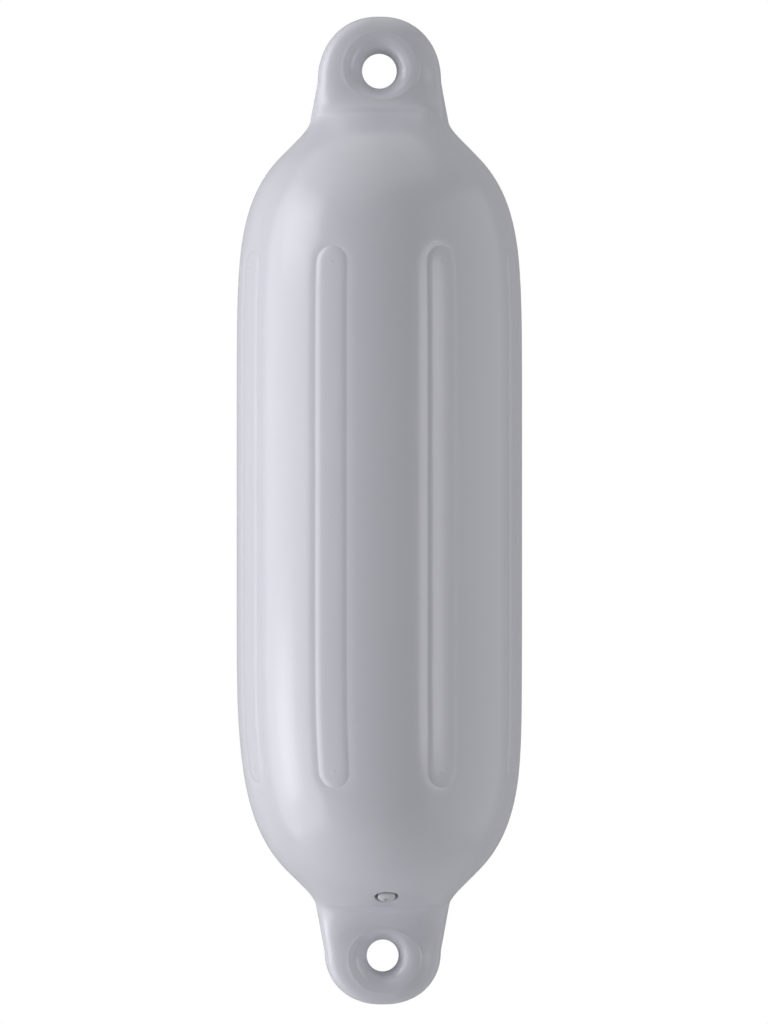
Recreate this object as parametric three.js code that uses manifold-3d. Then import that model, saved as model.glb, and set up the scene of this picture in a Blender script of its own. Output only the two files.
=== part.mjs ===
// Cylindrical boat fender with an eye at each end, in millimetres.
// Z is up along the length, the flat of the eyes faces front and back along Y,
// and the origin is the centre of the hole in the upper eye.
import * as THREE from "three";
import { mergeVertices } from "three/addons/utils/BufferGeometryUtils.js";
import Module from "manifold-3d";

// Overall sizes
const overallLength = 484;
const bodyDiameter = 140;

// Upper end: eye, dished hole and shoulder
const upperHoleDiameter = 17;
const upperHoleToEnd = 26.4;
const upperEyeWidth = 60.4;
const upperEyeThickness = 24;
const upperHeadLength = 31.7;
const upperDishDiameter = 36.6;
const upperDishDepth = 2.9;
const upperDishToDome = 3.2;
const upperDomeToEnd = 44.9;
const upperShoulderLength = 198;

// Lower end, which is a little slimmer and sits a little to one side of the axis
const lowerHoleDiameter = 15.6;
const lowerHoleToEnd = 23.7;
const lowerEyeWidth = 56.9;
const lowerEyeThickness = 24;
const lowerHeadLength = 25.9;
const lowerDishDiameter = 34.8;
const lowerDishDepth = 2.7;
const lowerDishToDome = 8;
const lowerDomeToEnd = 46;
const lowerShoulderLength = 190;
const lowerOffset = 1.6;
const lowerDriftStartToEnd = 165;
const lowerDriftEndToEnd = 70;

// Form of the eyes: how square their outline, section and edge are, how much they widen
// towards the body for each millimetre, how much the throat of each hole widens towards
// its lip, the lip itself, and the share of its mean slope that the dish has at its rim
const headSquareness = 2.15;
const sectionSquareness = 3;
const eyeFlare = 0.19;
const eyeEdgeLength = 14;
const holeDraft = 0.12;
const holeLip = 1.2;
const rimSlope = 0.1;

// Form of the shoulders: fuller with a higher power, rounder at the eye with a higher root,
// and the reach of the soft fillet between dome and eye
const upperShoulderPower = 7.5;
const upperShoulderRoot = 1.3;
const upperShoulderFillet = 11.7;
const lowerShoulderPower = 6.4;
const lowerShoulderRoot = 1.73;
const lowerShoulderFillet = 13.8;

// Ribs: flat-topped strips with round ends, each outlined by a crease in the skin
const ribCount = 8;
const ribWidth = 15.7;
const ribLength = 257.4;
const ribMiddleToEnd = 239;
const creaseDepth = 0.34;
const creaseOuterWidth = 5.2;
const creaseInnerWidth = 3.4;
const ribProud = 0.1;

// Inflation valve in the lower shoulder: pocket, threaded bush, seal and plug screw
const valveToEnd = 55.4;
const pocketDiameter = 11.4;
const plugHeadDiameter = 8.4;
const plugHeadHeight = 2;
const plugSetBack = 0.6;
const plugShankDiameter = 3.6;
const plugShankLength = 9;
const plugDimpleDiameter = 2.4;
const plugDimpleDepth = 0.7;
const sealDiameter = 7.4;
const sealThickness = 1;
const bushFlangeThickness = 1.2;
const bushTubeDiameter = 6.8;
const bushTubeLength = 11;
const seatGap = 0.3;

// Fineness of the faceted surface
const columnsPerRib = 10;
const rowsAcrossEyeEdge = 4;
const rowsAcrossEye = 6;
const rowsRoundFillet = 5;
const rowsOnShoulder = 4;
const rowsRoundRibEnd = 4;
const rowsOnBarrelEnd = 2;
const closestRows = 0.2;
const holeSegments = 36;
const stepsAcrossLip = 2;
const stepsAcrossDish = 4;
const valveSegments = 28;

// Values worked out from the sizes above
const bodyRadius = bodyDiameter / 2;
const topZ = upperHoleToEnd;
const bottomZ = topZ - overallLength;
const ribMiddleZ = bottomZ + ribMiddleToEnd;
const ribPitch = (2 * Math.PI) / ribCount;
const ribRadius = ribWidth / 2;
const ribStraightHalf = ribLength / 2 - ribRadius;
const ribReach = ribLength / 2 + creaseOuterWidth;
const frontAngle = -Math.PI / 2;

const upperEnd = {
  z: topZ,
  towardsBody: -1,
  holeRadius: upperHoleDiameter / 2,
  holeToEnd: upperHoleToEnd,
  halfWidth: upperEyeWidth / 2,
  halfThickness: upperEyeThickness / 2,
  headLength: upperHeadLength,
  dishRadius: upperDishDiameter / 2,
  dishDepth: upperDishDepth,
  dishReach: upperDomeToEnd - upperHoleToEnd - upperDishToDome,
  domeToEnd: upperDomeToEnd,
  shoulderLength: upperShoulderLength,
  shoulderPower: upperShoulderPower,
  shoulderRoot: upperShoulderRoot,
  shoulderFillet: upperShoulderFillet,
  offset: 0,
};
const lowerEnd = {
  z: bottomZ,
  towardsBody: 1,
  holeRadius: lowerHoleDiameter / 2,
  holeToEnd: lowerHoleToEnd,
  halfWidth: lowerEyeWidth / 2,
  halfThickness: lowerEyeThickness / 2,
  headLength: lowerHeadLength,
  dishRadius: lowerDishDiameter / 2,
  dishDepth: lowerDishDepth,
  dishReach: lowerDomeToEnd - lowerHoleToEnd - lowerDishToDome,
  domeToEnd: lowerDomeToEnd,
  shoulderLength: lowerShoulderLength,
  shoulderPower: lowerShoulderPower,
  shoulderRoot: lowerShoulderRoot,
  shoulderFillet: lowerShoulderFillet,
  offset: lowerOffset,
};
const ends = [upperEnd, lowerEnd];

const clamp = THREE.MathUtils.clamp;
const smoothstep = THREE.MathUtils.smoothstep;

// Distance of height z from an end, counted towards the body.
const fromEnd = (end, z) => (z - end.z) * end.towardsBody;

// Height of the centre of an end's hole.
const holeZ = (end) => end.z + end.towardsBody * end.holeToEnd;

// The larger of two radii, with a soft fillet where they are nearly alike.
function filletedMax(a, b, reach) {
  const overlap = Math.max(reach - Math.abs(a - b), 0) / reach;
  return Math.max(a, b) + (overlap * overlap * reach) / 4;
}

// A value that closes to nothing at an end as a superellipse of the given length does.
function closingShare(distance, length, squareness) {
  const share = clamp(1 - distance / length, 0, 1);
  return Math.pow(1 - Math.pow(share, squareness), 1 / squareness);
}

// Radius of the round body as one end's dome closes it.
function domeRadius(end, z) {
  const share = clamp(1 - (fromEnd(end, z) - end.domeToEnd) / end.shoulderLength, 0, 1);
  return bodyRadius * Math.pow(1 - Math.pow(share, end.shoulderPower), 1 / end.shoulderRoot);
}

// Half the width and half the depth of one eye's superelliptic section at a height.
function eyeSection(end, z) {
  const distance = fromEnd(end, z);
  const flare = eyeFlare * clamp(distance - end.headLength, 0, end.headLength);
  const closing = closingShare(distance, end.headLength, headSquareness);
  const rounding = closingShare(distance, eyeEdgeLength, sectionSquareness);
  return [(end.halfWidth + flare) * closing, end.halfThickness * rounding];
}

// Radius of that section, seen from its middle at an angle from +X.
function eyeRadius(end, angle, z) {
  const [halfWidth, halfDepth] = eyeSection(end, z);
  const across = Math.pow(Math.abs(Math.cos(angle)) / halfWidth, sectionSquareness);
  const through = Math.pow(Math.abs(Math.sin(angle)) / halfDepth, sectionSquareness);
  return Math.pow(across + through, -1 / sectionSquareness);
}

// How far the crowned face of an eye lies below its thickest point, at a place on the face.
function crownDrop(end, x, z) {
  const [halfWidth, halfDepth] = eyeSection(end, z);
  const share = Math.min(Math.abs(x) / halfWidth, 1);
  const left = 1 - Math.pow(share, sectionSquareness);
  return end.halfThickness - halfDepth * Math.pow(left, 1 / sectionSquareness);
}

// The end that a height belongs to.
const endAt = (z) => (z > ribMiddleZ ? upperEnd : lowerEnd);

// Sideways place of the section's middle, which drifts from the axis to the lower eye.
function middleX(z) {
  const drifted = lowerDriftStartToEnd - fromEnd(lowerEnd, z);
  return lowerOffset * smoothstep(drifted, 0, lowerDriftStartToEnd - lowerDriftEndToEnd);
}

// Signed distance from a rib's rounded outline: below nothing on the rib itself.
function ribDistance(arc, z) {
  const past = Math.max(Math.abs(z - ribMiddleZ) - ribStraightHalf, 0);
  return Math.hypot(arc, past) - ribRadius;
}

// How far the skin stands out or sinks in beside a rib's outline.
function ribRelief(distance) {
  if (distance >= 0) {
    const outer = 1 - Math.min(distance / creaseOuterWidth, 1);
    return -creaseDepth * outer * outer;
  }
  const inner = 1 - Math.min(-distance / creaseInnerWidth, 1);
  return ribProud - (ribProud + creaseDepth) * inner * inner;
}

// Angle from the nearest rib's middle line.
function angleFromRib(angle) {
  const turned = (angle - frontAngle) / ribPitch - 0.5;
  return (turned - Math.round(turned)) * ribPitch;
}

// A point of the moulded skin, at an angle from +X and a height. The fillet reaches no
// further than the eye's own radius, so that it starts where the dome does.
function skinPoint(angle, z) {
  const end = endAt(z);
  const eye = eyeRadius(end, angle, z);
  const plain = filletedMax(domeRadius(end, z), eye, Math.min(end.shoulderFillet, eye));
  const radius = plain + ribRelief(ribDistance(angleFromRib(angle) * bodyRadius, z));
  return new THREE.Vector3(middleX(z) + radius * Math.cos(angle), radius * Math.sin(angle), z);
}

// Half the width between the two creases of a rib, narrowing round its ends to a short tip.
function creaseHalfWidth(z) {
  const past = Math.max(Math.abs(z - ribMiddleZ) - ribStraightHalf, 0);
  const roundEnd = Math.sqrt(Math.max(ribRadius * ribRadius - past * past, 0));
  return Math.max(roundEnd, ribRadius / 4);
}

// Angle of one column of the skin from its rib's middle line. Beside the rib the columns
// lie on its flank, its crease and the slope outside it, and on the eyes they are even.
function columnAngle(step, z) {
  const index = Math.abs(step);
  const crease = creaseHalfWidth(z);
  const edge = (ribPitch * bodyRadius) / 2;
  const slope = Math.min(creaseOuterWidth, edge - ribRadius) / 2;
  const flank = Math.max(crease - creaseInnerWidth / 2, crease / 2);
  const stops = [0, flank, crease, crease + slope];
  const last = stops.length - 1;
  const spread = (index - last) / (columnsPerRib / 2 - last);
  const arc = index <= last ? stops[index] : THREE.MathUtils.lerp(stops[last], edge, spread);
  const along = Math.abs(z - ribMiddleZ) - ribReach;
  const follow = 1 - smoothstep(along, 0, ribWidth * 2);
  const even = (index * ribPitch) / columnsPerRib;
  return Math.sign(step) * THREE.MathUtils.lerp(even, arc / bodyRadius, follow);
}

// Evenly spaced values after the first, up to and with the last.
function spaced(first, last, count) {
  return Array.from({ length: count }, (_, i) => first + ((last - first) * (i + 1)) / count);
}

// Values after the first, up to and with the last, that lie closer together at the first.
function crowded(first, last, count) {
  return spaced(0, 1, count).map((share) => first + (last - first) * share * share);
}

// Heights of the skin's rows: close on the eyes and round the rib ends, wide on the barrel.
function rowHeights() {
  const heights = [];
  for (const end of ends) {
    const dishStart = end.holeToEnd - end.dishRadius;
    const filletEnd = end.domeToEnd + 2 * end.shoulderFillet;
    const toMiddle = Math.abs(end.z - ribMiddleZ);
    const ribTip = toMiddle - ribLength / 2;
    const shoulderEnd = ribTip - creaseOuterWidth / 2;
    const distances = [
      ...crowded(0, dishStart, rowsAcrossEyeEdge),
      ...spaced(dishStart, end.domeToEnd, rowsAcrossEye),
      ...crowded(end.domeToEnd, filletEnd, rowsRoundFillet),
      ...spaced(filletEnd, shoulderEnd, rowsOnShoulder),
      ribTip,
      ...crowded(ribTip, ribTip + ribRadius, rowsRoundRibEnd),
      ...crowded(ribTip + ribRadius, toMiddle, rowsOnBarrelEnd),
    ];
    heights.push(...distances.map((distance) => end.z + end.towardsBody * distance));
  }
  const inside = heights.filter((z) => z > bottomZ + closestRows && z < topZ - closestRows);
  inside.sort((a, b) => a - b);
  return inside.filter((z, i) => i === 0 || z - inside[i - 1] > closestRows);
}

// The moulded skin as rings of columns from the lower pole to the upper pole.
function skinGeometry() {
  const heights = rowHeights();
  const columns = ribCount * columnsPerRib;
  const points = [middleX(bottomZ), 0, bottomZ];
  for (const z of heights) {
    for (let column = 0; column < columns; column++) {
      const rib = Math.round(column / columnsPerRib);
      const step = column - rib * columnsPerRib;
      const angle = frontAngle + (rib + 0.5) * ribPitch + columnAngle(step, z);
      points.push(...skinPoint(angle, z).toArray());
    }
  }
  points.push(middleX(topZ), 0, topZ);
  const faces = [];
  const topPole = points.length / 3 - 1;
  const at = (row, column) => 1 + row * columns + (column % columns);
  const place = (i) => new THREE.Vector3().fromArray(points, 3 * i);
  const apart = (i, j) => place(i).distanceTo(place(j));
  for (let column = 0; column < columns; column++) {
    faces.push(0, at(0, column + 1), at(0, column));
    for (let row = 0; row < heights.length - 1; row++) {
      const [a, b] = [at(row, column), at(row, column + 1)];
      const [c, d] = [at(row + 1, column + 1), at(row + 1, column)];
      if (apart(a, c) <= apart(b, d)) faces.push(a, b, c, a, c, d);
      else faces.push(a, b, d, b, c, d);
    }
    const row = heights.length - 1;
    faces.push(at(row, column), at(row, column + 1), topPole);
  }
  const geometry = new THREE.BufferGeometry();
  geometry.setAttribute("position", new THREE.Float32BufferAttribute(points, 3));
  geometry.setIndex(faces);
  return geometry;
}

// Joining and cutting of closed geometries
const wasm = await Module();
wasm.setup();

function toSolid(geometry) {
  const bare = geometry.clone();
  bare.deleteAttribute("normal");
  bare.deleteAttribute("uv");
  const merged = mergeVertices(bare, 1e-4);
  return new wasm.Manifold(
    new wasm.Mesh({
      numProp: 3,
      vertProperties: new Float32Array(merged.attributes.position.array),
      triVerts: new Uint32Array(merged.index.array),
    }),
  );
}

function toGeometry(solid) {
  const mesh = solid.getMesh();
  const geometry = new THREE.BufferGeometry();
  geometry.setAttribute("position", new THREE.BufferAttribute(mesh.vertProperties, 3));
  geometry.setIndex(new THREE.BufferAttribute(mesh.triVerts, 1));
  geometry.computeVertexNormals();
  return geometry;
}

// A turned shape from radius and height pairs, which run outwards along +Y.
function turned(profile, segments) {
  return new THREE.LatheGeometry(profile.map(([r, h]) => new THREE.Vector2(r, h)), segments);
}

// Cutter for the rope hole of an eye: a throat that is narrowest in the middle, a rounded
// lip and a dish whose slope falls off towards its rim. The cutter follows the crown of the
// face, and on the body's side the dish is drawn in to an oval that ends short of the dome.
function holeCutter(end) {
  const dishFloor = end.halfThickness - end.dishDepth;
  const throatRadius = end.holeRadius + holeDraft * (dishFloor - holeLip);
  const dishStart = throatRadius + holeLip;
  const lip = [0, ...spaced(0, 1, stepsAcrossLip)].map((share) => {
    const turn = (share * Math.PI) / 2;
    const radius = throatRadius + holeLip * (1 - Math.cos(turn));
    return [radius, dishFloor - holeLip * (1 - Math.sin(turn))];
  });
  const dish = spaced(0, 1, stepsAcrossDish).map((share) => {
    const rise = share * (1 + (1 - rimSlope) * (1 - share));
    const radius = THREE.MathUtils.lerp(dishStart, end.dishRadius, share);
    return [radius, dishFloor + end.dishDepth * rise];
  });
  const overRim = [end.dishRadius + 2 * holeLip, end.halfThickness + holeLip];
  const outside = [overRim[0], bodyRadius];
  const back = [...lip, ...dish, overRim, outside];
  const front = back.map(([r, h]) => [r, -h]).reverse();
  const half = [[0, -bodyRadius], ...front, [end.holeRadius, 0]];
  const cutter = turned([...half, ...back, [0, bodyRadius]], holeSegments);
  const corners = cutter.attributes.position;
  for (let i = 0; i < corners.count; i++) {
    const [x, y, z] = [corners.getX(i), corners.getY(i), corners.getZ(i)];
    const outwards = (Math.hypot(x, z) - dishStart) / (end.dishRadius - dishStart);
    const drawnIn = THREE.MathUtils.lerp(1, end.dishReach / end.dishRadius, Math.max(outwards, 0));
    const ovalZ = z * end.towardsBody > 0 ? z * drawnIn : z;
    const drop = crownDrop(end, x, holeZ(end) + ovalZ);
    corners.setXYZ(i, x, y - Math.sign(y) * drop, ovalZ);
  }
  return cutter.translate(end.offset, 0, holeZ(end));
}

// Valve place: on the front of the lower shoulder, with its own axis square to the skin
const valveZ = bottomZ + valveToEnd;
const valveMouth = skinPoint(frontAngle, valveZ);
const probe = pocketDiameter / bodyDiameter;
const besideMouth = skinPoint(frontAngle + probe, valveZ).sub(skinPoint(frontAngle - probe, valveZ));
const aboveMouth = skinPoint(frontAngle, valveZ + seatGap).sub(skinPoint(frontAngle, valveZ - seatGap));
const valveNormal = besideMouth.cross(aboveMouth).normalize();
const valveFrame = new THREE.Quaternion().setFromUnitVectors(new THREE.Vector3(0, 1, 0), valveNormal);

// Depths of the valve's stack below its mouth, from the plug's face down to the bush
const plugFaceDepth = plugSetBack;
const plugUnderHead = plugFaceDepth + plugHeadHeight;
const sealTop = plugUnderHead + seatGap;
const sealFoot = sealTop + sealThickness;
const flangeTop = sealFoot + seatGap;
const flangeFoot = flangeTop + bushFlangeThickness;
const pocketFloor = flangeFoot + seatGap;
const bushFoot = flangeFoot + bushTubeLength;
const boreFloor = bushFoot + seatGap;

// Radii that follow from the plug's shank, the bush's tube and the pocket
const shankRadius = plugShankDiameter / 2;
const bushBore = shankRadius + seatGap;
const bushTubeRadius = bushTubeDiameter / 2;
const pocketRadius = pocketDiameter / 2;

// Cutter for the valve's pocket and the bore below it.
function valveCutter() {
  const boreRadius = bushTubeRadius + seatGap;
  const clearOfSkin = pocketRadius;
  const profile = [
    [0, -boreFloor],
    [boreRadius, -boreFloor],
    [boreRadius, -pocketFloor],
    [pocketRadius, -pocketFloor],
    [pocketRadius, clearOfSkin],
    [0, clearOfSkin],
  ];
  const cutter = turned(profile, valveSegments);
  return cutter.applyQuaternion(valveFrame).translate(...valveMouth.toArray());
}

// Plug screw: a low round head with a dimple, on a plain shank.
function plugProfile() {
  const headRadius = plugHeadDiameter / 2;
  const dimpleRadius = plugDimpleDiameter / 2;
  const edge = plugHeadHeight / 4;
  return [
    [0, -plugUnderHead - plugShankLength],
    [shankRadius, -plugUnderHead - plugShankLength],
    [shankRadius, -plugUnderHead],
    [headRadius, -plugUnderHead],
    [headRadius, -plugFaceDepth - edge],
    [headRadius - edge, -plugFaceDepth],
    [dimpleRadius, -plugFaceDepth],
    [dimpleRadius / 2, -plugFaceDepth - plugDimpleDepth],
    [0, -plugFaceDepth - plugDimpleDepth],
  ];
}

// Flat seal ring between the plug's head and the bush's flange.
function sealProfile() {
  return [
    [bushBore, -sealFoot],
    [sealDiameter / 2, -sealFoot],
    [sealDiameter / 2, -sealTop],
    [bushBore, -sealTop],
    [bushBore, -sealFoot],
  ];
}

// Moulded-in bush: a flange on the pocket's floor and a tube down into the bore.
function bushProfile() {
  const flangeRadius = pocketRadius - seatGap;
  return [
    [bushBore, -bushFoot],
    [bushTubeRadius, -bushFoot],
    [bushTubeRadius, -flangeFoot],
    [flangeRadius, -flangeFoot],
    [flangeRadius, -flangeTop],
    [bushBore, -flangeTop],
    [bushBore, -bushFoot],
  ];
}

// Materials
const whiteVinyl = new THREE.MeshStandardMaterial({ color: 0xd8d8de, roughness: 0.38, metalness: 0 });
const bushPlastic = new THREE.MeshStandardMaterial({ color: 0x8f9096, roughness: 0.5, metalness: 0 });
const sealRubber = new THREE.MeshStandardMaterial({ color: 0x1d1d1f, roughness: 0.8, metalness: 0 });
const plugPlastic = new THREE.MeshStandardMaterial({ color: 0xb4b5bc, roughness: 0.45, metalness: 0 });

// Moulded body: the skin with its two rope holes and the valve's pocket cut out.
function bodyGeometry() {
  let solid = toSolid(skinGeometry());
  for (const end of ends) solid = solid.subtract(toSolid(holeCutter(end)));
  return toGeometry(solid.subtract(toSolid(valveCutter())));
}

// Assembly
const fender = new THREE.Group();

function addPiece(name, geometry, material, parent) {
  const piece = new THREE.Mesh(geometry, material);
  piece.name = name;
  parent.add(piece);
}

addPiece("fender_body", bodyGeometry(), whiteVinyl, fender);

const valve = new THREE.Group();
valve.position.copy(valveMouth);
valve.quaternion.copy(valveFrame);
fender.add(valve);
addPiece("valve_bush", turned(bushProfile(), valveSegments), bushPlastic, valve);
addPiece("valve_seal", turned(sealProfile(), valveSegments), sealRubber, valve);
addPiece("valve_plug", turned(plugProfile(), valveSegments), plugPlastic, valve);

export default fender;
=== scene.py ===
from types import SimpleNamespace

import bmesh
import bpy
import numpy as np
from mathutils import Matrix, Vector


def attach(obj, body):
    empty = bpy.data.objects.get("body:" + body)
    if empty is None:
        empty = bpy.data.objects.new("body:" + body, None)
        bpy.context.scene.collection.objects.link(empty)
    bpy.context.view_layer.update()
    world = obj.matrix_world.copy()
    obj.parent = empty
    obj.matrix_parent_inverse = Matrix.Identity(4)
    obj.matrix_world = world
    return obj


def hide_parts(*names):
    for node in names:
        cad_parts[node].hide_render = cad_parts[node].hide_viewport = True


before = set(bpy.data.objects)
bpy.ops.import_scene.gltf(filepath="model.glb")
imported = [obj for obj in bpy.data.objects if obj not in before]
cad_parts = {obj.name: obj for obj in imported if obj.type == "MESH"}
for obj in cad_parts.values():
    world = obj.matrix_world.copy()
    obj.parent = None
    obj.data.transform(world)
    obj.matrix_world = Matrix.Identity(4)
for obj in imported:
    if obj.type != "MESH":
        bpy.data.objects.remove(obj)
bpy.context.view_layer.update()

# Moulded fender. The real piece is one hollow skin of soft vinyl, rotationally moulded
# and then filled with air. It has a flat eye at each end, eight long ribs pressed in by the
# mould, and a pocket for the valve. All sizes are in millimetres and in the CAD's frame.
MM = 0.001
weld_reach = 0.001 * MM
body_radius = 70.0
face_squareness = 3.5
edge_squareness = 3.0
head_squareness = 2.15
eye_flare = 0.19
eye_edge_length = 14.0
neck_start = 30.0
neck_swell = 4.0
neck_rounding = 1.1
neck_limit = 1.25
neck_fillet = 21.0
corner_fillet = 10.0
fillet_limit_power = 6
hole_draft = 0.12
hole_lip = 1.2

upper = SimpleNamespace(
    tip=26.4, to_body=-1, hole_radius=8.5, hole_to_tip=26.4, half_width=30.2,
    half_thickness=12.0, head_length=31.7, dish_radius=18.3, dish_depth=2.9,
    dish_to_dome=3.2, dome_to_tip=44.9, shoulder_length=198.0, power=7.5, root=1.3,
    fillet=11.7, offset=0.0,
)
lower = SimpleNamespace(
    tip=-457.6, to_body=1, hole_radius=7.8, hole_to_tip=23.7, half_width=28.45,
    half_thickness=12.0, head_length=25.9, dish_radius=17.4, dish_depth=2.7,
    dish_to_dome=8.0, dome_to_tip=46.0, shoulder_length=190.0, power=6.4, root=1.73,
    fillet=13.8, offset=1.6,
)
drift_start = 165.0
drift_end = 70.0

rib_count = 8
rib_radius = 7.85
rib_half_length = 128.7
rib_middle = -218.6
rib_straight_half = rib_half_length - rib_radius
rib_pitch = 2 * np.pi / rib_count
crease_depth = 0.34
crease_outside = 5.2
crease_inside = 3.4
rib_proud = 0.1
front_angle = -np.pi / 2


def from_tip(end, z):
    """Distance of a height from an end's tip, counted towards the body."""
    return (z - end.tip) * end.to_body


def smooth(share):
    """Three times the square less twice the cube, of a share held between 0 and 1."""
    share = np.clip(share, 0, 1)
    return share * share * (3 - 2 * share)


def closing(distance, length, squareness):
    """Superellipse that grows from 0 at the tip to 1 at the given length."""
    share = np.clip(1 - distance / length, 0, 1)
    return (1 - share**squareness) ** (1 / squareness)


def eye_section(end, z):
    """Half width, half depth and power of an eye's section. Both halves close at the tip.
    Past the head the width flares in a straight line. Towards the dome the depth swells
    by a square, and the section grows rounder."""
    distance = from_tip(end, z)
    flare = eye_flare * np.clip(distance - end.head_length, 0, end.head_length)
    half_width = (end.half_width + flare) * closing(distance, end.head_length, head_squareness)
    neck = np.clip((distance - neck_start) / (end.dome_to_tip - neck_start), 0, neck_limit)
    swollen = end.half_thickness + neck_swell * neck**2
    half_depth = swollen * closing(distance, eye_edge_length, edge_squareness)
    return half_width, half_depth, face_squareness - neck_rounding * smooth(neck)


def filleted_max(a, b, reach):
    """The larger of two radii, plus a quarter of the fillet's reach times the square of
    the share of it by which they overlap."""
    overlap = np.clip(reach - np.abs(a - b), 0, None) / reach
    return np.maximum(a, b) + overlap**2 * reach / 4


def end_radius(end, angle, z):
    """Radius of the skin near one end: a dome, 1 less the power of the share left, to one
    over a root, joined by a fillet to the eye's superellipse. The fillet is wider in front
    and behind, by the sine squared, and at the corners, by the sine squared of twice the
    angle. A sixth-power mean keeps it within the eye's radius, so it starts with the
    dome."""
    share = np.clip(1 - (from_tip(end, z) - end.dome_to_tip) / end.shoulder_length, 0, 1)
    dome = body_radius * (1 - share**end.power) ** (1 / end.root)
    half_width, half_depth, power = eye_section(end, z)
    across = (np.abs(np.cos(angle)) / half_width) ** power
    through = (np.abs(np.sin(angle)) / half_depth) ** power
    eye = (across + through) ** (-1 / power)
    front = (neck_fillet - end.fillet) * np.sin(angle) ** 2
    corners = corner_fillet * np.sin(2 * angle) ** 2
    reach = end.fillet + front + corners
    power = fillet_limit_power
    return filleted_max(dome, eye, (reach**-power + eye**-power) ** (-1 / power))


def rib_relief(angle, z):
    """Height of the ribs and their creases. The distance from a rib's rounded outline is
    the hypotenuse of the way across and the way past its straight part, less its radius.
    Outside, the crease rises as the square of the share left. Inside, it does so to the
    rib's flat."""
    turns = (angle - front_angle) / rib_pitch - 0.5
    across = (turns - np.round(turns)) * rib_pitch * body_radius
    past = np.clip(np.abs(z - rib_middle) - rib_straight_half, 0, None)
    distance = np.hypot(across, past) - rib_radius
    outside = -crease_depth * np.clip(1 - distance / crease_outside, 0, 1) ** 2
    share = np.clip(1 + distance / crease_inside, 0, 1)
    inside = rib_proud - (rib_proud + crease_depth) * share**2
    return np.where(distance >= 0, outside, inside)


def middle_x(z):
    """Sideways place of the section's middle: the lower eye's offset, eased in along the
    lower shoulder."""
    return lower.offset * smooth((drift_start - from_tip(lower, z)) / (drift_start - drift_end))


def skin_radius(angle, z):
    """Radius of the whole skin, ribs included, from the section's middle."""
    plain = np.where(z > rib_middle, end_radius(upper, angle, z), end_radius(lower, angle, z))
    return plain + rib_relief(angle, z)


def skin_points(angle, z):
    """Points of the skin: middle plus radius times cosine and sine, and the height."""
    radius = skin_radius(angle, z)
    angle, z = np.broadcast_arrays(angle, z)
    return np.stack([middle_x(z) + radius * np.cos(angle), radius * np.sin(angle), z], -1)


def skin_axes(angle, z, reach):
    """Directions across, up and out of the skin at a place, from the lines between two
    points that lie the reach to its sides and two a twentieth of that above and below."""
    turn = reach / body_radius
    beside = skin_points(np.array([angle + turn, angle - turn]), np.array([z, z]))
    above = skin_points(np.array([angle, angle]), np.array([z + reach / 20, z - reach / 20]))
    across = (beside[0] - beside[1]) / np.linalg.norm(beside[0] - beside[1])
    out = np.cross(across, above[0] - above[1])
    out /= np.linalg.norm(out)
    return np.stack([across, np.cross(out, across), out])


def grid_faces(rows, columns):
    """Corner numbers of the four-sided faces of a grid whose columns close into a ring."""
    row = np.arange(rows - 1)[:, None]
    column = np.arange(columns)[None, :]
    beside = (column + 1) % columns
    corners = [row * columns + column, row * columns + beside]
    corners += [(row + 1) * columns + beside, (row + 1) * columns + column]
    return np.stack(np.broadcast_arrays(*corners), -1).reshape(-1, 4)


def make_piece(name, parts, material, sharp=40.0):
    """A mesh piece from (points in millimetres, faces) parts, whose shared edges are
    welded, with a crease kept sharp above an angle in degrees. It rides on the body."""
    points, faces, count = [], [], 0
    for part_points, part_faces in parts:
        points.append(part_points.reshape(-1, 3) * MM)
        faces.append(part_faces + count)
        count += len(points[-1])
    mesh = bpy.data.meshes.new(name)
    mesh.from_pydata(np.concatenate(points).tolist(), [], np.concatenate(faces).tolist())
    welded = bmesh.new()
    welded.from_mesh(mesh)
    bmesh.ops.remove_doubles(welded, verts=welded.verts, dist=weld_reach)
    bmesh.ops.recalc_face_normals(welded, faces=welded.faces)
    welded.to_mesh(mesh)
    welded.free()
    mesh.shade_smooth()
    mesh.set_sharp_from_angle(angle=np.radians(sharp))
    mesh.materials.append(material)
    piece = bpy.data.objects.new(name, mesh)
    bpy.context.scene.collection.objects.link(piece)
    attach(piece, "root")
    return piece


# Skin between the eyes: one surface for the barrel, the ribs and the shoulders. Its columns
# follow a rib's flat, inner slope, crease and outer slope, and are even near the eyes. Its
# rows are close on the necks and round the ribs' ends, and wide along the straight barrel.
column_steps = 13
inner_stops = np.array([0, 0.28, 0.567, 0.7, 0.82, 0.92, 1.0])
outer_stops = np.array([0.8, 1.8, 3.2, 5.2])
beside_steps = column_steps - len(inner_stops) - len(outer_stops) + 1
least_crease = rib_radius / 4
evening_length = 4 * rib_radius
outline_samples = 4001
neck_step = 0.9
barrel_step = 3.2
step_start = 26
step_length = 40
before_rib = np.array([0.85, 0.7, 0.55, 0.41, 0.28, 0.17, 0.07])
rib_end_steps = 12
barrel_steps = 12


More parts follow.
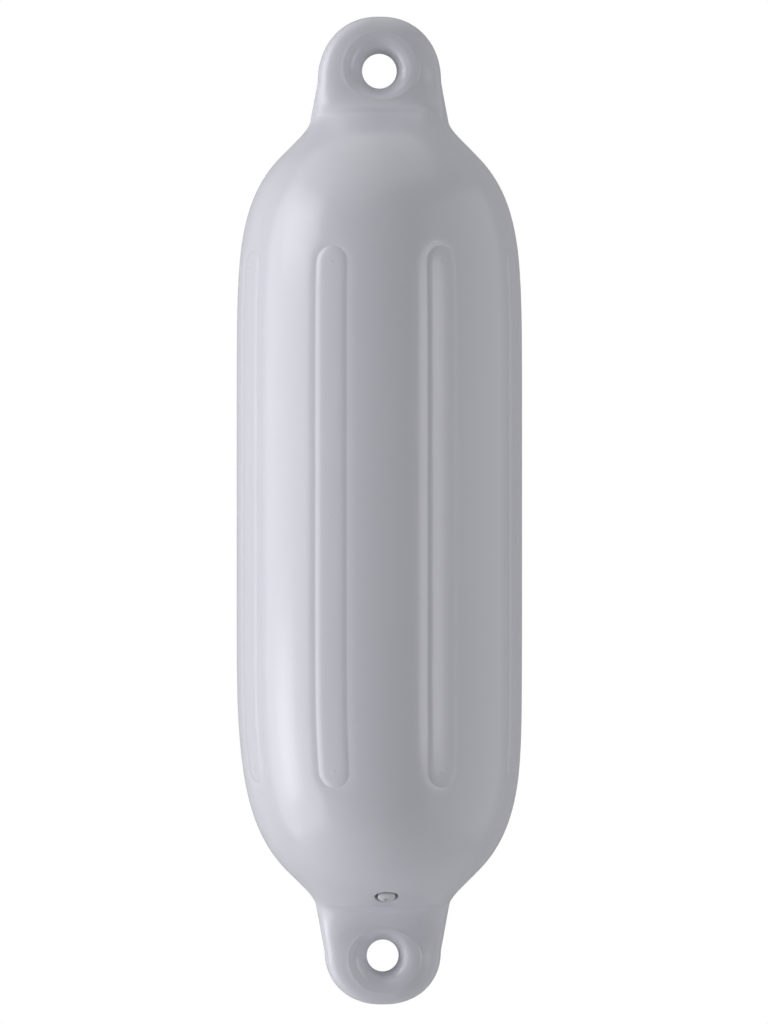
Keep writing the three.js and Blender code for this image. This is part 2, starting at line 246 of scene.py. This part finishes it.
def column_angles(z):
    """Angles of every column at each height: from the rib's middle, the inner stops times
    the crease's half width there, then the outer stops added to it, then even steps."""
    past = np.clip(np.abs(z - rib_middle) - rib_straight_half, 0, None)
    round_end = np.sqrt(np.clip(rib_radius**2 - past**2, 0, None))
    crease = np.maximum(round_end, least_crease)[:, None]
    half_pitch = rib_pitch * body_radius / 2
    inner = inner_stops * crease
    outer = outer_stops + crease
    share = np.arange(1, beside_steps + 1) / beside_steps
    beside = outer[:, -1:] + (half_pitch - outer[:, -1:]) * share
    arcs = np.concatenate([inner, outer, beside], 1)
    even = np.arange(column_steps + 1) * half_pitch / column_steps
    along = np.abs(z - rib_middle) - rib_half_length - crease_outside
    follow = 1 - smooth(along / evening_length)[:, None]
    half = (even + (arcs - even) * follow) / body_radius
    sector = np.concatenate([-half[:, :0:-1], half[:, :-1]], 1)
    middles = front_angle + (np.arange(rib_count) + 0.5) * rib_pitch
    return (middles[None, :, None] + sector[:, None, :]).reshape(len(z), -1)


def seam_height(end):
    """Height of the row where the round skin meets the eye's own surface, halfway between
    the dish and the dome."""
    return end.tip + end.to_body * (end.dome_to_tip - end.dish_to_dome / 2)


def skin_rows(end):
    """Heights from an end's seam to the middle of the body. On the shoulder they are even
    along the front's outline, widening away from the eye. Round the rib's end they follow
    a sine, so that they are close at its tip."""
    rib_tip = abs(end.tip - rib_middle) - rib_half_length
    first = from_tip(end, seam_height(end))
    last = rib_tip - crease_outside
    fine = first + (last - first) * np.linspace(0, 1, outline_samples) ** 2
    radius = end_radius(end, front_angle, end.tip + end.to_body * fine)
    length = np.concatenate([[0], np.cumsum(np.hypot(np.diff(fine), np.diff(radius)))])
    step = neck_step + (barrel_step - neck_step) * smooth((length - step_start) / step_length)
    count = np.concatenate([[0], np.cumsum(np.diff(length) / step[1:])])
    shoulder = np.interp(np.linspace(0, count[-1], int(count[-1])), count, fine)
    before = rib_tip - crease_outside * before_rib
    turn = np.linspace(np.pi / 2, 0, rib_end_steps + 1)
    round_end = rib_tip + rib_radius * (1 - np.sin(turn))
    middle = abs(end.tip - rib_middle)
    straight = np.linspace(round_end[-1], middle, barrel_steps + 1)[1:]
    distances = np.concatenate([shoulder, before, round_end, straight])
    return end.tip + end.to_body * distances


row_heights = np.concatenate([skin_rows(lower), skin_rows(upper)[-2::-1]])
angles = column_angles(row_heights)
skin = skin_points(angles, row_heights[:, None])
columns = skin.shape[1]

# Valve pocket. The real one is a round cup, moulded into the lower shoulder square to the
# skin, with a small lip round its mouth and a bore below its floor for the bush.
valve_height = lower.tip + 55.4
pocket_radius = 5.7
pocket_lip = 0.45
pocket_floor = 5.7
bore_radius = 3.7
bore_floor = 16.7
block_half = 8
collar_steps = 5
pocket_lip_steps = 5
search_depth = 12.0
halvings = 44

valve_mouth = skin_points(np.array(front_angle), np.array(valve_height))
valve_axes = skin_axes(front_angle, valve_height, pocket_radius)
valve_normal = valve_axes[2]


def above_skin(points):
    """How far points lie outside the skin, measured from the section's middle."""
    x = points[..., 0] - middle_x(points[..., 2])
    angle = np.arctan2(points[..., 1], x)
    return np.hypot(x, points[..., 1]) - skin_radius(angle, points[..., 2])


def skin_over_valve(across, up):
    """Points of the skin over places in the valve's plane: the height along the valve's
    axis is halved in on, between the search depth below the mouth and the same above."""
    base = valve_mouth + np.stack([across, up], -1) @ valve_axes[:2]
    low = np.full(across.shape, -search_depth)
    high = np.full(across.shape, search_depth)
    for _ in range(halvings):
        middle = (low + high) / 2
        outside = above_skin(base + middle[..., None] * valve_normal) > 0
        low, high = np.where(outside, low, middle), np.where(outside, middle, high)
    return base + ((low + high) / 2)[..., None] * valve_normal


def pocket_patch(rim):
    """The pocket and the skin round it, inwards from the ring of grid points that it
    replaces: straight lines in the valve's plane to the lip, a quarter circle over the
    lip, the wall, the floor, the bore and the bore's floor."""
    local = (rim - valve_mouth) @ valve_axes.T
    distance = np.hypot(local[:, 0], local[:, 1])
    direction = local[:, :2] / distance[:, None]
    lip_radius = pocket_radius + pocket_lip
    rings = [rim]
    for share in np.linspace(1, 0, collar_steps + 1)[1:]:
        out = lip_radius + (distance - lip_radius) * share
        rings.append(skin_over_valve(out * direction[:, 0], out * direction[:, 1]))
    lip_top = (rings[-1] - valve_mouth) @ valve_normal
    profile = []
    for turn in np.linspace(0, np.pi / 2, pocket_lip_steps + 1)[1:]:
        out = lip_radius - pocket_lip * np.sin(turn)
        profile.append((out, lip_top - pocket_lip * (1 - np.cos(turn))))
    profile += [(pocket_radius, -pocket_floor / 2), (pocket_radius, -pocket_floor)]
    profile += [(bore_radius, -pocket_floor), (bore_radius, -bore_floor), (0.0, -bore_floor)]
    for out, height in profile:
        flat = out * direction @ valve_axes[:2]
        lift = np.broadcast_to(height, len(rim))[:, None] * valve_normal
        rings.append(valve_mouth + flat + lift)
    grid = np.stack(rings)
    return grid, grid_faces(len(rings), len(rim))


mouth_row = int(np.argmin(np.abs(row_heights - valve_height)))
mouth_column = int(np.argmin(np.abs(angles[mouth_row] - front_angle)))
if mouth_column < block_half:
    mouth_column += columns
block_rows = np.arange(mouth_row - block_half, mouth_row + block_half + 1)
block_columns = np.arange(mouth_column - block_half, mouth_column + block_half + 1) % columns
ring_rows = np.concatenate([
    np.full(2 * block_half, block_rows[0]), block_rows[:-1],
    np.full(2 * block_half, block_rows[-1]), block_rows[:0:-1],
])
ring_columns = np.concatenate([
    block_columns[:-1], np.full(2 * block_half, block_columns[-1]),
    block_columns[:0:-1], np.full(2 * block_half, block_columns[0]),
])
skin_faces = grid_faces(len(row_heights), columns)
first_row = skin_faces[:, 0] // columns
first_column = skin_faces[:, 0] % columns
in_block = np.isin(first_row, block_rows[:-1]) & np.isin(first_column, block_columns[:-1])
fender_parts = [(skin, skin_faces[~in_block]), pocket_patch(skin[ring_rows, ring_columns])]

# Eyes. Each end of the real fender is pressed flat by the mould, round a core that leaves
# the rope hole. Here an eye is two faces with a dished hole, which meet in the middle of
# the throat and along the eye's outline.
outline_steps = 111
face_steps = 30
dish_steps = 14
lip_steps = 7
dish_power = 2.65
bead_height = 0.14
bead_width = 0.9
inner_bead_height = 0.05
inner_bead_inset = 3.6
ring_spread = 1.5
ray_length = 80.0
least_size = 1e-6


def crown(end, x, z):
    """Height of an eye's face above its middle plane, at a place on the face."""
    half_width, half_depth, power = eye_section(end, z)
    share = np.clip(np.abs(x) / half_width, 0, 1)
    return half_depth * (1 - share**power) ** (1 / power)


def dish_beads(past):
    """Height of the faint beads on a dish's rim and a little inside it: a bell for each,
    over the distance past the rim."""
    on_rim = bead_height * np.exp(-((past / bead_width) ** 2))
    return on_rim + inner_bead_height * np.exp(-(((past + inner_bead_inset) / bead_width) ** 2))


def eye_patch(end, side, seam):
    """One face of an eye, inwards from its border: the skin's seam below and the eye's
    outline above. A point of the face is where a ray from the hole's centre, at a turn and
    a rise between the border's and the rim's, leaves the section. The dish is drawn in to
    an oval on the body's side and climbs as 1 less a power of the share left. The lip is
    an arc that starts at the dish's slope, and the throat ends in the middle."""
    hole_height = end.tip + end.to_body * end.hole_to_tip
    seam_out = end.to_body * (hole_height - seam[0, 2])
    corner = np.arctan2(seam_out, np.abs(seam[[0, -1], 0] - end.offset).max())
    around = np.linspace(corner, np.pi - corner, outline_steps + 1)[1:-1]
    seam_turn = np.arctan2(np.full(len(seam), seam_out), seam[:, 0] - end.offset)
    border_turn = np.concatenate([seam_turn, around])
    count = len(border_turn)
    even = (np.arange(count) - (len(seam) - 1) / 2) * 2 * np.pi / count - np.pi / 2
    reach = end.dome_to_tip - end.hole_to_tip - end.dish_to_dome
    dish_floor = end.half_thickness - end.dish_depth
    throat_radius = end.hole_radius + hole_draft * (dish_floor - hole_lip)
    dish_start = throat_radius + hole_lip

    def place(turn, radius, lift):
        """Points at a distance from the hole's centre and a lift towards the face."""
        x = end.offset + radius * np.cos(turn)
        z = hole_height - end.to_body * radius * np.sin(turn)
        return np.stack([x, side * lift + 0 * x, z], -1)

    def leaving(turn, rise):
        """Distance along a ray of a given rise to where it leaves the eye, halved in on."""
        low = np.zeros(rise.shape)
        high = np.full(rise.shape, ray_length)
        for _ in range(halvings):
            middle = (low + high) / 2
            x, lift, z = place(turn, middle * np.cos(rise), middle * np.sin(rise)).T
            half_width, half_depth, power = eye_section(end, z)
            across = (np.abs(x - end.offset) / np.maximum(half_width, least_size)) ** power
            through = (np.abs(lift) / np.maximum(half_depth, least_size)) ** power
            outside = (across + through > 1) | (from_tip(end, z) < 0)
            low, high = np.where(outside, low, middle), np.where(outside, middle, high)
        return (low + high) / 2

    def drawn(turn, radius):
        """A circle's radius at a turn, once the circle is drawn in on the body's side."""
        share = np.clip((radius - dish_start) / (end.dish_radius - dish_start), 0, None)
        squeeze = np.where(np.sin(turn) < 0, 1 + (reach / end.dish_radius - 1) * share, 1)
        return radius / np.hypot(np.cos(turn), np.sin(turn) / squeeze)

    def crowned(radius, lift):
        """A ring of the dish, lip or throat, whose lift follows the crown of the face."""
        ring = place(even, drawn(even, radius), 0.0)
        height = crown(end, ring[:, 0] - end.offset, ring[:, 2])
        ring[:, 1] = side * (lift + height - end.half_thickness)
        return ring

    rim = place(even, drawn(even, end.dish_radius), 0.0)
    rim_lift = crown(end, rim[:, 0] - end.offset, rim[:, 2])
    rim_rise = np.arctan2(rim_lift, drawn(even, end.dish_radius))
    border_rise = np.zeros(count)
    seam_reach = np.hypot(seam[:, 0] - end.offset, seam_out)
    border_rise[: len(seam)] = np.arctan2(np.abs(seam[:, 1]), seam_reach)
    rings = []
    for left in np.linspace(1, 0, face_steps + 1) ** ring_spread:
        turn = even + (border_turn - even) * left**2
        rise = rim_rise + (border_rise - rim_rise) * left
        out = leaving(turn, rise)
        flat = out * np.cos(rise)
        lift = out * np.sin(rise) + dish_beads(flat - drawn(turn, end.dish_radius))
        rings.append(place(turn, flat, lift))
    rings[0] = place(border_turn, leaving(border_turn, border_rise), 0.0)
    rings[0][: len(seam)] = seam
    slope = dish_power * end.dish_depth / (end.dish_radius - dish_start)
    for share in np.linspace(1, 0, dish_steps + 1)[1:]:
        radius = dish_start + (end.dish_radius - dish_start) * share
        climb = end.dish_depth * (1 - (1 - share) ** dish_power)
        rings.append(crowned(radius, dish_floor + climb + dish_beads(radius - end.dish_radius)))
    lean = np.arctan(slope)
    lip = hole_lip / (1 - np.sin(lean))
    for turned_in in np.linspace(lean, np.pi / 2, lip_steps + 1)[1:]:
        radius = throat_radius + lip * (1 - np.sin(turned_in))
        rings.append(crowned(radius, dish_floor - lip * (np.cos(lean) - np.cos(turned_in))))
    rings.append(place(even, np.full(count, end.hole_radius), 0.0))
    grid = np.stack(rings)
    return grid, grid_faces(len(rings), count)


quarter = columns // 4
for end, row in ((upper, -1), (lower, 0)):
    front_seam = skin[row][np.arange(-quarter, quarter + 1)]
    back_seam = skin[row][np.arange(3 * quarter, quarter - 1, -1)]
    fender_parts += [eye_patch(end, -1, front_seam), eye_patch(end, 1, back_seam)]


class Wire:
    """The value of one node socket, so that shader maths is written as an expression."""

    def __init__(self, tree, socket=None):
        self.tree = tree
        self.socket = socket

    def node(self, kind, settings=None, values=None, output=0):
        """A new node: its settings are set first, then the values or links of its sockets."""
        made = self.tree.nodes.new(kind)
        for name, value in (settings or {}).items():
            setattr(made, name, value)
        for name, value in (values or {}).items():
            self.join(value, made.inputs[name])
        return Wire(self.tree, made.outputs[output])

    def join(self, value, socket):
        """Links a wire to a socket, or sets a plain value on it."""
        if isinstance(value, Wire):
            self.tree.links.new(value.socket, socket)
        else:
            socket.default_value = value

    def math(self, operation, first, second):
        """The value of a Math node with two inputs."""
        return self.node("ShaderNodeMath", {"operation": operation}, {0: first, 1: second})

    def __add__(self, other):
        return self.math("ADD", self, other)

    def __mul__(self, other):
        return self.math("MULTIPLY", self, other)

    __radd__ = __add__
    __rmul__ = __mul__


def finish_material(name, constants, vary):
    """A material whose Principled BSDF has constant values on its own sockets, and the
    sockets that vary are joined to what the vary function gives for the tree."""
    material = bpy.data.materials.new(name)
    material.use_nodes = True
    tree = material.node_tree
    shader = tree.nodes["Principled BSDF"]
    for socket, value in constants.items():
        shader.inputs[socket].default_value = value
    start = Wire(tree)
    for socket, value in vary(start).items():
        start.join(value, shader.inputs[socket])
    return material


def object_noise(start, scale, detail=2.0, roughness=0.5):
    """Noise on object coordinates: its scale is how many waves go in a metre."""
    where = start.node("ShaderNodeTexCoord", output="Object")
    values = {"Vector": where, "Scale": scale, "Detail": detail, "Roughness": roughness}
    return start.node("ShaderNodeTexNoise", None, values, "Fac")


def vinyl_look(start):
    """Soft vinyl: a cool pale grey with a faint cloudiness, a gloss that varies a little,
    and the fine orange peel that the mould leaves."""
    cloud = object_noise(start, 9.0, 3.0)
    grain = object_noise(start, 900.0, 2.0)
    peel = object_noise(start, 160.0, 2.0)
    tint = start.node("ShaderNodeMix", {"data_type": "RGBA"}, {
        "Factor": cloud, 6: (0.65, 0.652, 0.718, 1), 7: (0.695, 0.698, 0.762, 1)
    }, 2)
    bump = start.node("ShaderNodeBump", None, {
        "Strength": 0.12, "Distance": 0.0004, "Height": peel * 0.7 + grain * 0.3
    })
    return {"Base Color": tint, "Roughness": 0.17 + cloud * 0.07, "Normal": bump}


vinyl = finish_material("soft_vinyl", {"IOR": 1.53}, vinyl_look)
fender = make_piece("fender", fender_parts, vinyl)
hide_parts("fender_body")

# Moulding pips. The real ones are small round marks, left in the vinyl by the pins of the
# mould, at the middle of each rib and at the centre of each of its round ends.
pip_radius = 1.2
pip_height = 0.11
pip_segments = 20
pip_shares = np.array([0, 0.35, 0.62, 0.84, 1, 1])


def pip(angle, z):
    """A low dome on the skin: its height is the full height times the cosine of a quarter
    turn's share of the radius, and its foot goes into the skin."""
    axes = skin_axes(angle, z, pip_radius)
    around = np.arange(pip_segments) * 2 * np.pi / pip_segments
    share = pip_shares[:, None]
    height = pip_height * np.cos(share * np.pi / 2)
    height[-1] = -pip_height
    flat = pip_radius * share * np.stack([np.cos(around), np.sin(around)])[:, None, :]
    local = np.stack([flat[0], flat[1], np.broadcast_to(height, flat[0].shape)], -1)
    grid = skin_points(np.array(angle), np.array(z)) + local @ axes
    foot = grid[-1:].mean(1, keepdims=True) + 0 * grid[-1:]
    return np.concatenate([grid, foot]), grid_faces(len(grid) + 1, pip_segments)


pip_heights = rib_middle + rib_straight_half * np.array([-1, 0, 1])
rib_angles = front_angle + (np.arange(rib_count) + 0.5) * rib_pitch
pips = [pip(angle, z) for angle in rib_angles for z in pip_heights]
make_piece("moulding_pips", pips, vinyl)

# Valve bush. The real one is a threaded plastic insert, moulded into the pocket's floor,
# with a flange above and a tube below. Only a ring of its flange shows round the plug.
bush_bore = 2.1
bush_flange_radius = 5.4
bush_tube_radius = 3.4
flange_top = 4.2
flange_foot = 5.4
flange_rounding = 0.25
bush_foot = 16.4
valve_segments = 64


def turned(profile):
    """A profile of radius and depth below the valve's mouth, turned round its axis."""
    around = np.arange(valve_segments) * 2 * np.pi / valve_segments
    radius, depth = np.array(profile, float).T
    flat = radius[:, None, None] * np.stack([np.cos(around), np.sin(around)], -1)
    height = np.broadcast_to(-depth[:, None], flat.shape[:2])
    local = np.stack([flat[..., 0], flat[..., 1], height], -1)
    return valve_mouth + local @ valve_axes, grid_faces(len(profile), valve_segments)


def rounded(radius, depth, edge, start, end, steps=5):
    """Points of a quarter circle about a corner, from one turn to another in degrees."""
    turn = np.radians(np.linspace(start, end, steps + 1))
    return list(zip(radius + edge * np.cos(turn), depth - edge * np.sin(turn)))


def bush_look(start):
    """Satin moulded plastic, mid grey, a little mottled."""
    mottle = object_noise(start, 700.0, 3.0)
    tint = start.node("ShaderNodeMix", {"data_type": "RGBA"}, {
        "Factor": mottle, 6: (0.24, 0.25, 0.27, 1), 7: (0.3, 0.31, 0.33, 1)
    }, 2)
    bump = start.node("ShaderNodeBump", None, {
        "Strength": 0.1, "Distance": 0.0002, "Height": mottle
    })
    return {"Base Color": tint, "Roughness": 0.42 + mottle * 0.12, "Normal": bump}


bush_plastic = finish_material("bush_plastic", {}, bush_look)
bush_profile = [(bush_bore, bush_foot), (bush_tube_radius, bush_foot)]
bush_profile += [(bush_tube_radius, flange_foot), (bush_flange_radius, flange_foot)]
bush_profile += rounded(
    bush_flange_radius - flange_rounding, flange_top + flange_rounding, flange_rounding, 0, 90
)
bush_profile += [(bush_bore, flange_top), (bush_bore, bush_foot)]
bush = make_piece("bush", [turned(bush_profile)], bush_plastic)
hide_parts("valve_bush")

# Valve seal. The real one is a flat black rubber washer, squeezed between the plug's head
# and the bush's flange.
seal_radius = 3.7
seal_top = 2.9
seal_foot = 3.9
seal_rounding = 0.3


def rubber_look(start):
    """Matt black rubber with a fine grain."""
    grain = object_noise(start, 1800.0, 3.0)
    tint = start.node("ShaderNodeMix", {"data_type": "RGBA"}, {
        "Factor": grain, 6: (0.01, 0.01, 0.011, 1), 7: (0.018, 0.018, 0.019, 1)
    }, 2)
    bump = start.node("ShaderNodeBump", None, {
        "Strength": 0.2, "Distance": 0.0001, "Height": grain
    })
    return {"Base Color": tint, "Roughness": 0.7 + grain * 0.2, "Normal": bump}


seal_rubber = finish_material("seal_rubber", {}, rubber_look)
seal_corner = seal_radius - seal_rounding
seal_profile = [(bush_bore, seal_foot)]
seal_profile += rounded(seal_corner, seal_foot - seal_rounding, seal_rounding, -90, 0)
seal_profile += rounded(seal_corner, seal_top + seal_rounding, seal_rounding, 0, 90)
seal_profile += [(bush_bore, seal_top), (bush_bore, seal_foot)]
seal = make_piece("seal", [turned(seal_profile)], seal_rubber)
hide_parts("valve_seal")

# Valve plug. The real one is a plastic screw whose round head is slightly domed, with a
# dimple in it. It is screwed into the bush until it squeezes the seal.
head_radius = 4.2
head_edge = 0.8
head_crown = 0.75
crown_radius = 2.6
crown_share = 0.7
plug_face = -0.55
plug_under_head = 2.6
shank_radius = 1.8
shank_foot = 11.6
shank_chamfer = 0.4
dimple_radius = 1.25
dimple_edge = 0.25
dimple_depth = 1.5
dimple_shares = (1, 0.85, 0.65, 0.45, 0.2, 0)


def plug_look(start):
    """Satin moulded plastic, light grey, with faint moulding marks."""
    mottle = object_noise(start, 500.0, 3.0)
    tint = start.node("ShaderNodeMix", {"data_type": "RGBA"}, {
        "Factor": mottle, 6: (0.6, 0.6, 0.64, 1), 7: (0.66, 0.66, 0.7, 1)
    }, 2)
    bump = start.node("ShaderNodeBump", None, {
        "Strength": 0.1, "Distance": 0.0002, "Height": mottle
    })
    return {"Base Color": tint, "Roughness": 0.36 + mottle * 0.1, "Normal": bump}


plug_plastic = finish_material("plug_plastic", {}, plug_look)
dimple_rim = plug_face - head_crown
dimple = [(dimple_radius * s, dimple_rim + dimple_depth * (1 - s * s)) for s in dimple_shares]
plug_profile = [(0, shank_foot), (shank_radius - shank_chamfer, shank_foot)]
plug_profile += [(shank_radius, shank_foot - shank_chamfer), (shank_radius, plug_under_head)]
plug_profile += [(head_radius, plug_under_head)]
plug_profile += rounded(head_radius - head_edge, plug_face + head_edge, head_edge, 0, 90)
plug_profile += [(crown_radius, plug_face - crown_share * head_crown)]
plug_profile += [(dimple_radius + dimple_edge, dimple_rim)] + dimple
plug = make_piece("plug", [turned(plug_profile)], plug_plastic)
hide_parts("valve_plug")

# Floor. A plain pale floor, painted matt, nearly a metre below the hanging fender. Its rim
# fades to the white of the room, so that no edge shows in a view from above.
floor_drop = 0.9
floor_half = 1.2
fade_start = 0.3
fade_end = 0.96 * floor_half
middle_white = 0.75
glossy_share = 0.35


def floor_points():
    """A flat square below the fender."""
    corners = np.array([(-1, -1), (1, -1), (1, 1), (-1, 1)], float) * floor_half
    height = np.full((4, 1), lower.tip * MM - floor_drop)
    return np.concatenate([corners, height], 1)


def white_background(tree, lit, white_kind, share):
    """Mixes a lit shader with plain white, by its share, for the rays that see the
    background. Glossy rays see a part of it: vinyl has only a faint mirror of the room."""
    start = Wire(tree)
    path = tree.nodes.new("ShaderNodeLightPath")
    camera_ray, transmission_ray, glossy_ray = (
        Wire(tree, path.outputs[f"Is {kind} Ray"]) for kind in ("Camera", "Transmission", "Glossy")
    )
    seen = camera_ray + transmission_ray + glossy_ray * glossy_share
    white = start.node(white_kind, None, {"Color": (1, 1, 1, 1)})
    return start.node("ShaderNodeMixShader", None, {0: seen * share, 1: lit, 2: white})


def fading_share(tree):
    """Share of white in the floor: it rises smoothly with the distance from the middle, so
    that the rim is as white as the room behind it."""
    start = Wire(tree)
    where = start.node("ShaderNodeTexCoord", output="Object")
    flat = start.node("ShaderNodeVectorMath", {"operation": "MULTIPLY"}, {0: where, 1: (1, 1, 0)})
    out = start.node("ShaderNodeVectorMath", {"operation": "LENGTH"}, {0: flat}, "Value")
    return start.node("ShaderNodeMapRange", {"interpolation_type": "SMOOTHSTEP"}, {
        "Value": out, "From Min": fade_start, "From Max": fade_end,
        "To Min": middle_white, "To Max": 1.0
    }, "Result")


floor_mesh = bpy.data.meshes.new("floor")
floor_mesh.from_pydata(floor_points().tolist(), [], [(0, 1, 2, 3)])
floor = bpy.data.objects.new("floor", floor_mesh)
bpy.context.scene.collection.objects.link(floor)
floor_paint = bpy.data.materials.new("floor_paint")
floor_paint.use_nodes = True
tree = floor_paint.node_tree
tree.nodes["Principled BSDF"].inputs["Base Color"].default_value = (0.86, 0.86, 0.87, 1)
tree.nodes["Principled BSDF"].inputs["Roughness"].default_value = 0.8
lit = Wire(tree, tree.nodes["Principled BSDF"].outputs[0])
floor_surface = white_background(tree, lit, "ShaderNodeEmission", fading_share(tree))
tree.links.new(floor_surface.socket, tree.nodes["Material Output"].inputs["Surface"])
floor_mesh.materials.append(floor_paint)

# Light. The room is pale and dim. The strongest soft box is a tall one on the left, with a
# small card above and below it. A card and a wide box stand on the right, two boxes hang
# above, and one lies below.
world = bpy.data.worlds.new("studio")
bpy.context.scene.world = world
world.use_nodes = True
tree = world.node_tree
room = tree.nodes["Background"]
room.inputs["Color"].default_value = (0.95, 0.96, 1.0, 1)
room.inputs["Strength"].default_value = 0.06
lit = Wire(tree, room.outputs[0])
room_surface = white_background(tree, lit, "ShaderNodeBackground", 1.0)
tree.links.new(room_surface.socket, tree.nodes["World Output"].inputs["Surface"])


def soft_box(name, azimuth, elevation, distance, width, height, power):
    """A soft box that faces the fender's middle. Azimuth 0 is in front of it, and 90 is to
    its right, in degrees."""
    lamp = bpy.data.lights.new(name, "AREA")
    lamp.shape = "RECTANGLE"
    lamp.size = width
    lamp.size_y = height
    lamp.energy = power
    a, e = np.radians(azimuth), np.radians(elevation)
    out = Vector((np.sin(a) * np.cos(e), -np.cos(a) * np.cos(e), np.sin(e)))
    holder = bpy.data.objects.new(name, lamp)
    holder.location = out * distance + Vector((0, 0, rib_middle * MM))
    holder.rotation_euler = out.to_track_quat("Z", "Y").to_euler()
    holder.visible_camera = False
    bpy.context.scene.collection.objects.link(holder)


soft_box("left_box", -80.5, 0, 1.2, 1.1, 2.2, 15.3)
soft_box("high_left_card", -76, 25, 1.1, 0.46, 0.44, 1.0)
soft_box("low_left_card", -83, -16, 1.1, 0.32, 0.44, 1.2)
soft_box("front_card", 39, 0, 1.5, 0.5, 0.85, 3.34)
soft_box("right_box", 74, 0, 1.3, 2.1, 2.2, 7.45)
soft_box("top_left_box", -85, 66, 1.2, 1.0, 1.0, 0.95)
soft_box("top_box", -60, 80, 1.3, 1.9, 1.9, 6.30)
soft_box("low_box", -60, -68, 1.1, 1.5, 1.5, 1.53)

# Camera. A long lens, level with the fender's middle and a little to the left of its front.
# The scale is in millimetres to a pixel at the fender's axis, and the pixels are where the
# axis and the upper eye's tip stand in the frame.
frame_width = 768
frame_height = 1024
scale = 0.4907
fender_axis_pixel = 379.4
tip_pixel = 17.4
camera_azimuth = np.radians(-3.2)
camera_distance = 1.9

camera_data = bpy.data.cameras.new("camera")
camera_data.sensor_width = 36.0
camera_data.lens = camera_data.sensor_width * camera_distance / (frame_height * scale * MM)
camera_data.clip_end = 20.0
camera = bpy.data.objects.new("camera", camera_data)
bpy.context.scene.collection.objects.link(camera)
bpy.context.scene.camera = camera
aside = (frame_width / 2 - fender_axis_pixel) * scale * MM
eye_level = (upper.tip - (frame_height / 2 - tip_pixel) * scale) * MM
sine, cosine = np.sin(camera_azimuth), np.cos(camera_azimuth)
camera.location = (
    sine * camera_distance + aside * cosine, -cosine * camera_distance + aside * sine, eye_level
)
camera.rotation_euler = (np.pi / 2, 0, camera_azimuth)

bpy.context.scene.view_settings.view_transform = "Standard"
